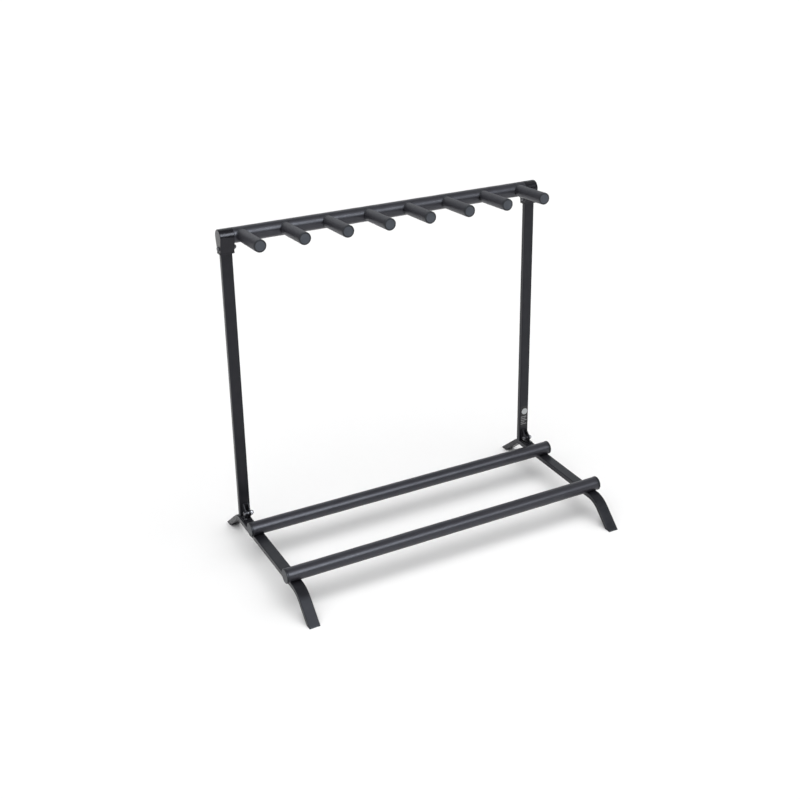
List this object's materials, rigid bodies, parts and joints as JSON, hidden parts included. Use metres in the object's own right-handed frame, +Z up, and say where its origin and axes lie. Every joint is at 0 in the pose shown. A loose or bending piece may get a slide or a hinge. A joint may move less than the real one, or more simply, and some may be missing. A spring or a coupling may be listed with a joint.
{
  "type": "guitar rack",
  "caption": "Floor rack that holds guitars side by side: padded base bars on bent rails, and a frame with a padded top bar and pegs that folds forward on two hinges.",
  "frame": {"origin": "on the floor at the centre of the rack's footprint", "axes": "+X to the player's right along the bars, +Y towards the back of the rack, +Z up; the pegs point towards -Y"},
  "size_m": [0.8135, 0.4848, 0.7601],
  "materials": {
    "powder_coat": "satin black powder coat on steel tube and sheet",
    "foam": "matte black closed-cell foam sleeve",
    "moulded_plastic": "glossy black moulding",
    "cap_plastic": "matte black plastic",
    "fastener": "black zinc-plated steel"
  },
  "bodies": {
    "base": {"base_bar_bolts": "fastener", "base_bar_cap_back_left": "cap_plastic", "base_bar_cap_back_right": "cap_plastic", "base_bar_cap_front_left": "cap_plastic", "base_bar_cap_front_right": "cap_plastic", "base_bar_foam_back": "foam", "base_bar_foam_front": "foam", "base_bar_nuts": "fastener", "base_bar_tube_back": "powder_coat", "base_bar_tube_front": "powder_coat", "foot_cap_back_left": "cap_plastic", "foot_cap_back_right": "cap_plastic", "foot_cap_front_left": "cap_plastic", "foot_cap_front_right": "cap_plastic", "hinge_bolts": "fastener", "hinge_bracket_left": "powder_coat", "hinge_bracket_right": "powder_coat", "hinge_bracket_screws": "fastener", "hinge_lock_nuts": "fastener", "hinge_spacers": "fastener", "hinge_washers": "cap_plastic", "side_rail_left": "powder_coat", "side_rail_right": "powder_coat"},
    "upright_frame": {"connector_bolts": "fastener", "connector_lock_nuts": "fastener", "hinge_lug_left": "powder_coat", "hinge_lug_right": "powder_coat", "peg_cap_1": "cap_plastic", "peg_cap_2": "cap_plastic", "peg_cap_3": "cap_plastic", "peg_cap_4": "cap_plastic", "peg_cap_5": "cap_plastic", "peg_cap_6": "cap_plastic", "peg_cap_7": "cap_plastic", "peg_cap_8": "cap_plastic", "peg_collars": "cap_plastic", "peg_foam_1": "foam", "peg_foam_2": "foam", "peg_foam_3": "foam", "peg_foam_4": "foam", "peg_foam_5": "foam", "peg_foam_6": "foam", "peg_foam_7": "foam", "peg_foam_8": "foam", "peg_tube_1": "powder_coat", "peg_tube_2": "powder_coat", "peg_tube_3": "powder_coat", "peg_tube_4": "powder_coat", "peg_tube_5": "powder_coat", "peg_tube_6": "powder_coat", "peg_tube_7": "powder_coat", "peg_tube_8": "powder_coat", "top_bar_foam": "foam", "top_bar_tube": "powder_coat", "top_connector_left": "moulded_plastic", "top_connector_right": "moulded_plastic", "upright_foot_plugs": "cap_plastic", "upright_left": "powder_coat", "upright_right": "powder_coat"}
  },
  "joints": [
    {"name": "frame_fold", "type": "hinge", "parent": "base", "child": "upright_frame", "pos_m": [0, 0.13975, 0.07135], "axis": [1, 0, 0], "range_deg": [0, 85]}
  ]
}
